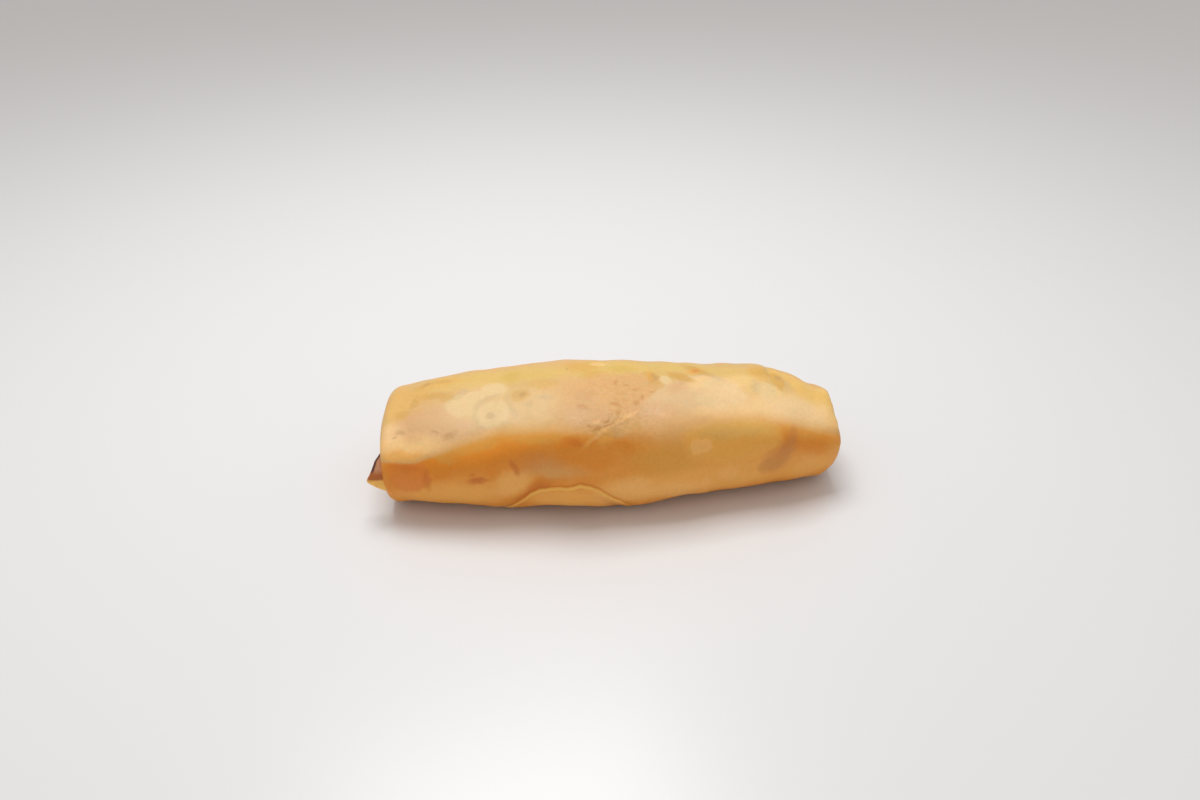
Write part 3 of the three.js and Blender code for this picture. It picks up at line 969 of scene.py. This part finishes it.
FRONT_STAINS_AND_PAINTED_LIGHT = (
    # The apricot here, and the glow further down, make the lower front lighter towards the bottom: painted
    # light, as from the floor below.
    ("apricot", 0.85, ((25, 188, 22, 4.4, -3), (-33, 192, 10, 3.4), (5, 193, 7, 3, 0, 0.5), (46, 190, 7, 4),
     (-10, 198, 9, 3), (-22, 185, 4.5, 3, -20, 0.5))),
    ("apricot", 0.45, ((8, 171, 12, 5), (2, 192, 6, 5), (-42, 198, 8, 3.4), (20, 200, 24, 3, -2))),
    # Ember deepens the band just below the ridge: painted shade.
    ("ember", 0.8, ((-31, 160, 9, 2.6, 3, 0.5), (-21, 159, 7, 2.4), (-4, 163, 5, 2.8, 0, 0.4),
     (46, 161, 6, 3, 0, 0.5), (3, 157, 3, 1.4, 20))),
    ("amber", 0.5, ((-2, 159, 4, 2), (5, 168, 5, 2.6), (50, 160, 3, 3))),
    # Painted light on the lower front.
    ("glow", 0.6, ((5, 192, 4.5, 2.2, 4), (12, 195, 6, 1.8))),
    ("brass", 0.8, ((-30, 151, 9, 1.6, -10, 0.5), (-16, 146.5, 9, 1.7, 0, 0.5), (28, 146, 10, 1.9, 0, 0.5),
     (-38, 157.5, 4, 0.9, 12))),
    ("brass", 0.7, ((44, 152, 5.5, 1.8, 10),)),
    ("bronze", 0.5, ((24, 144, 7, 1.6),)),
    ("corn", 0.4, ((51.4, 168, 2, 3.2),)),
    ("biscuit", 0.8, ((14, 147, 9, 3.4, 8), (-13, 174, 6, 1.6, 0, 0.8))),
    ("ochre", 0.7, ((12, 168, 7, 3),)),
    ("rust", 0.85, ((-44.1, 173, 4.5, 4.3, 0, 0.14),)),
    ("plum", 0.35, ((37.6, 172, 3.2, 5, 15),)),
    ("plum", 0.5, ((36.2, 183, 3, 2, -8, 0.4), (38.9, 172, 1.7, 4.2, 20, 0.45),
     (40.6, 157, 1, 3, 12, 0.5))),
    ("plum", 0.35, ((-15.5, 167, 4.5, 1.8, 0, 0.8),)),
    ("corn", 0.85, ((26.8, 156.6, 11, 5.1, 0, 0.14),)),
    ("honey", 0.75, ((28, 146.5, 10, 2.4, 0, 0.5),)),
    ("glow", 0.7, ((18.7, 160, 1.5, 1.5, 0, 0.2), (20.6, 160.4, 1.5, 1.5, 0, 0.2))),
    # These two glows are painted light on the lower front, as from below.
    ("glow", 0.4, ((26, 184, 2.2, 1.6, 0, 0.35), (21, 191, 1.4, 1, 0, 0.4), (-22, 185, 4, 2.4, -20))),
    ("glow", 0.5, ((4, 196, 5, 2.6), (16, 201, 7, 2), (-1, 202, 3.5, 3))),
    ("russet", 0.7, ((-21.1, 169, 0.8, 1.7, -24, 0.5), (-29.6, 178.5, 1.6, 0.6, 8))),
    ("russet", 0.5, ((-29.8, 178.3, 1.8, 0.8, 8), (-28, 181, 1.4, 0.5), (-30.4, 172, 0.35, 0.35, 0, 0.5),
     (-40.4, 177, 0.8, 2.6, -5, 0.7), (-8, 152, 2, 0.8, 0, 0.7), (-44.5, 166, 2.6, 1, 5, 0.7))),
    ("glow", 0.45, ((-34, 12, 9, 3, 6), (-6, -8, 10, 4, -4), (22, 8, 8, 3, 5), (44, -4, 5, 4),
     (-24, -34, 9, 4), (14, -38, 10, 4))),
    ("russet", 0.35, ((-41, -6, 2.2, 1.4, 20), (-15, 6, 1.4, 0.8, -15), (7, -16, 2.6, 1.2, 10),
     (31, -12, 1.2, 0.9), (-29, -18, 1, 0.6, 30), (37, 12, 0.5, 0.5), (-2, 14, 0.4, 0.4))),
)
FINE_STAINS_AND_PAINTED_LIGHT = (
    ("umber", 0.5, ((1.2, 133, 0.5, 0.6), (6.3, 123, 0.7, 0.7), (1.3, 124.5, 1.1, 0.4),
     (7.6, 117, 0.3, 0.9), (-5.7, 127, 1.3, 0.7, 30), (2.2, 97, 0.4, 1.2, 8), (4.6, 100, 0.5, 0.6),
     (6.4, 106, 0.9, 0.4, -12), (9.8, 109, 0.5, 0.4))),
    # Corn, and vanilla below, run along the pleat's crest: a painted highlight.
    ("corn", 0.6, ((-5.2, 153, 2, 0.5, -38, 0.7), (-1.4, 150, 1.8, 1.2, -20, 0.7))),
    ("vanilla", 0.4, ((-1, 144.6, 3.8, 0.4, -27, 0.7), (3.6, 135, 2.4, 0.4, -24, 0.7),
     (1.9, 138.5, 1, 0.4, -20, 0.7), (-3.2, 139, 0.8, 0.5, 0, 0.7))),
    ("umber", 0.75, ((-3.1, 144.2, 1.2, 0.4, -12), (-0.6, 141.6, 1.1, 0.34, -28),
     (-4.6, 141.2, 0.7, 0.3, 10), (-1, 138.6, 0.7, 0.3, -40))),
)
# Three more ovals: beside the left shoulder of the flap's tip, where the skin is painted darker, partly
# as shadow; where the flap's right edge is faint; and the rough patch near the middle of the top.
SHOULDER = (-17.5, 193, 6.5, 4.2, 20, 0.7)
FAINT_EDGE = (8, 217, 6, 5)
ROUGH_PATCH = (1, 122, 11, 11, -15)
# The angles over which the front becomes the underside, the top becomes the back, and the painted
# highlight on the flap's rim grows stronger.
UNDERSIDE_FROM = (206, 228)
BACK_FROM = (80, 60)
RIM_HIGHLIGHT_FROM = (130, 175)
# Sizes of the mottling, of the clouds in it, of the rough patch's lumps and of the fine grain.
MOTTLE_SIZE, CLOUD_SIZE, LUMP_SIZE, GRAIN_SIZE = 8.0, 3.0, 1.1, 0.8
FOLDS_MOTTLE_SIZE = 4.0
WANDER = ((5.0, 2.2), (1.4, 1.0))  # the sizes of the waves in the stains' outlines, and their reach
# Height and strength of what stands out.
GRAIN_BUMP = (0.03, 0.5)
LUMP_BUMP = (0.12, 0.45)
CLOUD_BUMP = (0.1, 0.4)
FOLDS_BUMP = (0.08, 0.5)
# The depths below the folded edge over which it is browned, and over which the gaps between the turns
# are painted darker, as shade.
BROWNED_EDGE = (0.7, 0.1)
GAP_SHADE_COLOURS = (("russet", (0.9, 2.6)), ("cocoa", (2.0, 4.4)))
# Stretches of the way down the tongue, each with the shares over which it starts and ends: its pink
# face, partly painted shade; its crease, painted dark as shade; and its rolled rim, painted pale, partly as
# a highlight.
TONGUE_PINK = ((-0.1, 0.05), (0.64, 0.72))
TONGUE_CREASE = ((0.6, 0.7), (0.74, 0.79))
TONGUE_RIM = ((0.74, 0.79), (1.05, 1.3))
SOFT_LIGHT, SOFT_LIGHT_DEPTH = 0.12, 0.8  # how much light goes into the pastry, and how deep


def lay_marks(tree, group, place, colour, layers):
    """Lays the marks of a list over a colour, one layer after the other: stains, and painted light and
    shade.
    """
    for name, strength, spots in layers:
        mask = 0.0
        for spot in spots:
            mask = calculate(tree, "MAXIMUM", soft_oval(tree, group, place, *spot), mask)
        colour = blend(tree, multiply(tree, mask, strength), colour, name)
    return colour


def wander(tree, where, skin):
    """The unrolled skin's places, moved about a little, for outlines that aren't too even."""
    for size, reach in WANDER:
        drift = noise(tree, where, size, 2.0).outputs["Color"]
        moved = vector_math(tree, "MULTIPLY_ADD", drift, (reach, reach, 0), skin).outputs[0]
        skin = vector_math(tree, "SUBTRACT", moved, (reach / 2, reach / 2, 0)).outputs[0]
    return skin


def skin_colour(tree, colours, group, place, mottle, cloud):
    """The skin's colour: a pale top and a browner front and back, with their stains and their painted light
    and shade.
    """
    around_mm = add_node(tree, "ShaderNodeSeparateXYZ", {0: place}).outputs[1]
    below_turn, in_flap = coordinates(tree, "edges")
    top = blend(tree, ramp(tree, mottle, 0.42, 0.6), colours.top, colours.top_mottle)
    top = lay_marks(tree, group, place, top, TOP_STAINS_AND_PAINTED_LIGHT)
    front = blend(tree, ramp(tree, mottle, 0.4, 0.62), colours.front, colours.front_mottle)
    under = blend(tree, ramp(tree, mottle, 0.36, 0.68), colours.back, colours.back_mottle)
    low = ramp_around(tree, around_mm, UNDERSIDE_FROM)
    far_side = ramp_around(tree, around_mm, BACK_FROM)
    front = blend(tree, calculate(tree, "MAXIMUM", low, far_side), front, under)
    front = lay_marks(tree, group, place, front, FRONT_STAINS_AND_PAINTED_LIGHT)
    # The top turns into the browner front, whose deeper orange is partly painted shade.
    ragged = calculate(tree, "ADD", cloud, calculate(tree, "SUBTRACT", below_turn, 0.5))
    top = blend(tree, ramp(tree, ragged, -2.6, -0.4, 0.0, 0.5), top, "biscuit")
    colour = blend(tree, ramp(tree, ragged, -1.0, 1.0), top, front)
    colour = lay_marks(tree, group, place, colour, FINE_STAINS_AND_PAINTED_LIGHT)
    colour = colour_flap_edge(tree, group, place, around_mm, in_flap, colour)
    # The set-back insides of the ends are painted cocoa: painted shade.
    hollow = add_node(tree, "ShaderNodeAttribute", attribute_name="hollow").outputs["Fac"]
    return blend(tree, hollow, colour, "cocoa")


def pastry_material(colours):
    material, tree = new_material("fried_pastry")
    where = places_on_piece(tree)
    place = wander(tree, where, add_node(tree, "ShaderNodeUVMap", uv_map="skin").outputs[0])
    group = soft_oval_group()
    mottle = noise(tree, where, MOTTLE_SIZE).outputs["Fac"]
    cloud = noise(tree, where, CLOUD_SIZE, 3.0, 0.6).outputs["Fac"]
    colour = skin_colour(tree, colours, group, place, mottle, cloud)
    rough = soft_oval(tree, group, place, *ROUGH_PATCH)
    lumps = noise(tree, where, LUMP_SIZE).outputs["Fac"]
    # The rough patch is painted darker in the low spots between its lumps: painted shade in the pits.
    pit_shade = multiply(tree, ramp(tree, lumps, 0.5, 0.36), rough)
    colour = blend(tree, multiply(tree, pit_shade, 0.18), colour, "umber")
    tint, grain = add_grain(tree, where, colour, 0.97, 1.03)
    raised = multiply(tree, ramp(tree, lumps, 0.42, 0.66), rough)
    normal = None
    for height, size in ((grain, GRAIN_BUMP), (raised, LUMP_BUMP), (cloud, CLOUD_BUMP)):
        normal = bump(tree, height, *size, normal)
    set_surface(tree, {
        "Base Color": tint,
        "Roughness": ramp(tree, mottle, 0.3, 0.7, 0.42, 0.55),
        "Specular IOR Level": 0.35,
        "Normal": normal,
        "Subsurface Weight": SOFT_LIGHT,
        "Subsurface Scale": SOFT_LIGHT_DEPTH * MM,
    })
    return material


def colour_flap_edge(tree, group, place, around_mm, in_flap, colour):
    """Darkens the skin just outside the flap with russet, a painted shadow with some browning, and makes the
    flap's rim paler, a painted highlight.
    """
    shoulder = ramp(tree, soft_oval(tree, group, place, *SHOULDER), 0, 1, 0.0, 0.85)
    faint = ramp(tree, soft_oval(tree, group, place, *FAINT_EDGE), 0, 1, 1.0, 0.35)
    # Just outside the flap's edge the skin is painted darker: painted shadow, with some browning.
    near = multiply(tree, ramp(tree, in_flap, -3.2, -0.4), shoulder)
    beside = multiply(tree, ramp(tree, in_flap, -0.9, -0.1, 0.0, 0.5), faint)
    outside = multiply(tree, calculate(tree, "MAXIMUM", near, beside), ramp(tree, in_flap, 0.05, -0.05))
    colour = blend(tree, outside, colour, "russet")
    # The rim's painted highlight is faint at the top and on the back, and strong at the front
    strength = ramp_around(tree, around_mm, RIM_HIGHLIGHT_FROM, 0.2, 0.8)
    rim = multiply(tree, band(tree, in_flap, (-0.1, 0.05), (0.2, 0.8)), multiply(tree, strength, faint))
    return blend(tree, rim, colour, "lemon")


def folded_material(colours):
    """The turns inside the ends: browned on their folded edges, and painted darker between them, as shade.
    """
    material, tree = new_material("folded_pastry")
    where = places_on_piece(tree)
    depth, tongue = coordinates(tree, "fold")
    mottle = noise(tree, where, FOLDS_MOTTLE_SIZE).outputs["Fac"]
    colour = blend(tree, ramp(tree, mottle, 0.38, 0.62), colours.folds, colours.folds_mottle)
    browned = multiply(tree, ramp(tree, depth, *BROWNED_EDGE), ramp(tree, mottle, 0.4, 0.6, 0.1, 0.7))
    colour = blend(tree, browned, colour, "toast")
    for shade, depths in GAP_SHADE_COLOURS:
        colour = blend(tree, ramp(tree, depth, *depths), colour, shade)
    # The tongue: a pink face, partly painted shade, with painted shadow in maroon along its edge and over
    # its top, and under a crease painted dark as shade, its rolled lower rim, painted paler, partly as a
    # highlight
    face = multiply(tree, band(tree, tongue, *TONGUE_PINK), ramp(tree, depth, 4.4, 3.4))
    colour = blend(tree, face, colour, "rose")
    dark = calculate(tree, "MAXIMUM", ramp(tree, depth, 0.6, 0.35), ramp(tree, tongue, 0.5, 0.15, 0.0, 0.8))
    colour = blend(tree, multiply(tree, face, dark), colour, "maroon")
    colour = blend(tree, band(tree, tongue, *TONGUE_CREASE), colour, "chestnut")
    colour = blend(tree, band(tree, tongue, *TONGUE_RIM), colour, "lemon")
    tint, grain = add_grain(tree, where, colour, 0.92, 1.06)
    set_surface(tree, {
        "Base Color": tint,
        "Roughness": ramp(tree, mottle, 0.3, 0.7, 0.4, 0.52),
        "Normal": bump(tree, grain, *FOLDS_BUMP),
        "Subsurface Weight": SOFT_LIGHT,
        "Subsurface Scale": SOFT_LIGHT_DEPTH * MM,
    })
    return material


def floor_material():
    material, tree = new_material("pale_floor")
    set_surface(tree, {"Base Color": FLOOR_COLOUR, "Roughness": 0.3})
    return material


# ---- Stage -----------------------------------------------------------------------------------

CAMERA_PLACE = (-14.4, -171.05, 133.5)
CAMERA_PITCH = 33.2
CAMERA_HEADING = 4.4
CAMERA_ROLL = -0.4
CAMERA_LENS = 26.91
CAMERA_SENSOR = 36
CAMERA_NEAREST = 5
LIGHT_PLACE = (-30, 110, 420)
LIGHT_TARGET = (0, 0, 10)
LIGHT_SIZE = 220
ROOM_COLOUR = (1.0, 0.95, 0.92, 1)
FLOOR_COLOUR = (0.78, 0.79, 0.8, 1)
FLOOR_SIZE = 4000


def make_camera():
    turn = Euler((math.radians(90 - CAMERA_PITCH), 0, math.radians(-CAMERA_HEADING))).to_matrix()
    turn = turn @ Matrix.Rotation(math.radians(CAMERA_ROLL), 3, "Z")
    place = Vector(CAMERA_PLACE) * MM
    bpy.ops.object.camera_add(location=place, rotation=turn.to_euler())
    camera = bpy.context.object
    camera.data.lens = CAMERA_LENS
    camera.data.sensor_width = CAMERA_SENSOR
    camera.data.clip_start = CAMERA_NEAREST * MM
    bpy.context.scene.camera = camera


def make_light(power):
    place = Vector(LIGHT_PLACE) * MM
    aim = Vector(LIGHT_TARGET) * MM - place
    bpy.ops.object.light_add(type="AREA", location=place, rotation=aim.to_track_quat("-Z", "Y").to_euler())
    light = bpy.context.object
    light.name = "overhead"
    light.data.size = LIGHT_SIZE * MM
    light.data.energy = power


def make_stage(settings):
    deselect_all()
    bpy.ops.mesh.primitive_plane_add(size=FLOOR_SIZE * MM)
    floor = bpy.context.object
    floor.name = "floor"
    floor.data.materials.append(floor_material())
    make_camera()
    make_light(settings.light_power)
    world = bpy.data.worlds.new("room")
    world.use_nodes = True
    background = world.node_tree.nodes["Background"]
    background.inputs["Color"].default_value = ROOM_COLOUR
    background.inputs["Strength"].default_value = settings.room_light
    bpy.context.scene.world = world
    bpy.context.scene.view_settings.view_transform = "Standard"


# ---- The add-on ------------------------------------------------------------------------------

def number_property(name, description, default, low, high):
    return bpy.props.FloatProperty(name=name, description=description, default=default, min=low, max=high)


def size_property(name, description, default, low, high):
    """A length, given here in millimetres."""
    return bpy.props.FloatProperty(name=name, description=description, default=default * MM,
                                   min=low * MM, max=high * MM, precision=5, unit="LENGTH")


def colour_property(name, description, shade):
    return bpy.props.FloatVectorProperty(name=name, description=description, default=PALETTE[shade],
                                         size=4, min=0, max=1, subtype="COLOR")


class SkinSettings(bpy.types.PropertyGroup):
    dents: number_property("Dents", "Strength of the soft dents and bulges of the skin", 1, 0, 1.5)
    creases: number_property("Creases", "Strength of the skin's raised lines", 1, 0, 3)
    unevenness: size_property("Unevenness", "Height of the skin's small bumps", 0.05, 0, 0.3)


class FlapSettings(bpy.types.PropertyGroup):
    thickness: size_property("Thickness", "Thickness of the flap", SHEET, 0.3, 1.5)
    rim: size_property("Rounded rim", "Width over which the flap's edge is rounded", 0.45, 0.1, 2)
    swell: size_property("Swollen tip", "How much thicker the flap is at its tip", 0.2, 0, 1)


class EndSettings(bpy.types.PropertyGroup):
    thickness: size_property("Thickness", "Thickness of one folded turn", 1.7, 0.8, 2)
    depth: size_property("Depth", "How far the turns reach into the roll", 5.5, 4, 8)
    left_turns: number_property("Left turns", "Number of turns in the left end", 3.1, 1, 3.4)
    right_turns: number_property("Right turns", "Number of turns in the right end", 2.5, 1, 3)
    tongue: size_property("Tongue", "How far a turn has slipped out of the left end", 3.65, 0, 6)


class ColourSettings(bpy.types.PropertyGroup):
    top: colour_property("Top", "Ground colour of the pale top", "tan")
    top_mottle: colour_property("Top mottle", "Second ground colour of the top", "peach")
    # The front's colour is partly painted shade.
    front: colour_property("Front", "Ground colour of the browner front", "amber")
    front_mottle: colour_property("Front mottle", "Second ground colour of the front", "ember")
    back: colour_property("Back", "Ground colour of the back and the underside", "crust")
    back_mottle: colour_property("Back mottle", "Second ground colour of the back", "toast")
    folds: colour_property("Folds", "Colour of the turns in the folded ends", "apricot")
    folds_mottle: colour_property("Folds mottle", "Second colour of the turns", "amber")


class StageSettings(bpy.types.PropertyGroup):
    light_power: bpy.props.FloatProperty(
        name="Light", description="Power of the large light over the roll", default=1.2, min=0, unit="POWER")
    room_light: number_property("Room light", "Strength of the even light from all around", 0.55, 0, 5)


class NeedsSkin:
    @classmethod
    def poll(cls, context):
        return SKIN in bpy.data.objects


class PASTRY_OT_skin(bpy.types.Operator):
    """Model the skin of the roll around its solid"""
    bl_idname = "pastry.skin"
    bl_label = "Roll skin"

    def execute(self, context):
        scene = context.scene
        skin = skin_from_solid()
        sculpt_skin(skin, scene.spring_roll_skin)
        # The share of each point in the ends' set-back insides, which the material paints dark as shade.
        hollow = sum(hollow_out(skin, measure_end(skin, name)) for name in ENDS)
        skin.data.attributes.new("hollow", "FLOAT", "POINT").data.foreach_set("value", hollow)
        lay_out_skin(skin)
        finish_piece(skin, pastry_material(scene.spring_roll_colours))
        return {"FINISHED"}


class PASTRY_OT_flap(NeedsSkin, bpy.types.Operator):
    """Model the last corner of the sheet, which lies on the skin"""
    bl_idname = "pastry.flap"
    bl_label = "Flap"

    def execute(self, context):
        skin = bpy.data.objects[SKIN]
        flap = make_flap(skin, context.scene.spring_roll_flap)
        lay_out_skin(flap)
        finish_piece(flap, skin.data.materials[0])
        return {"FINISHED"}


class PASTRY_OT_ends(NeedsSkin, bpy.types.Operator):
    """Model the turns of the sheet that show in the folded ends"""
    bl_idname = "pastry.ends"
    bl_label = "Folded ends"

    def execute(self, context):
        scene = context.scene
        material = folded_material(scene.spring_roll_colours)
        for name in ENDS:
            turns = make_turns(bpy.data.objects[SKIN], name, scene.spring_roll_ends)
            finish_piece(turns, material)
        return {"FINISHED"}


class PASTRY_OT_stage(bpy.types.Operator):
    """Set up the floor, the light and the camera"""
    bl_idname = "pastry.stage"
    bl_label = "Stage"

    def execute(self, context):
        make_stage(context.scene.spring_roll_stage)
        return {"FINISHED"}


class PASTRY_PT_panel(bpy.types.Panel):
    bl_label = "Spring roll"
    bl_idname = "PASTRY_PT_panel"
    bl_space_type = "VIEW_3D"
    bl_region_type = "UI"
    bl_category = "Spring roll"

    def draw(self, context):
        for group in SETTINGS:
            box = self.layout.box()
            settings = getattr(context.scene, group)
            for name in settings.__annotations__:
                box.prop(settings, name)
        for operator in OPERATORS:
            self.layout.operator(operator.bl_idname)


SETTINGS = {
    "spring_roll_skin": SkinSettings,
    "spring_roll_flap": FlapSettings,
    "spring_roll_ends": EndSettings,
    "spring_roll_colours": ColourSettings,
    "spring_roll_stage": StageSettings,
}
OPERATORS = (PASTRY_OT_skin, PASTRY_OT_flap, PASTRY_OT_ends, PASTRY_OT_stage)
CLASSES = (*SETTINGS.values(), *OPERATORS, PASTRY_PT_panel)


def register():
    for item in CLASSES:
        bpy.utils.register_class(item)
    for name, group in SETTINGS.items():
        setattr(bpy.types.Scene, name, bpy.props.PointerProperty(type=group))


def unregister():
    for name in SETTINGS:
        delattr(bpy.types.Scene, name)
    for item in reversed(CLASSES):
        bpy.utils.unregister_class(item)


def main():
    register()
    bpy.ops.pastry.skin()
    bpy.ops.pastry.flap()
    bpy.ops.pastry.ends()
    bpy.ops.pastry.stage()


if __name__ == "__main__":
    main()
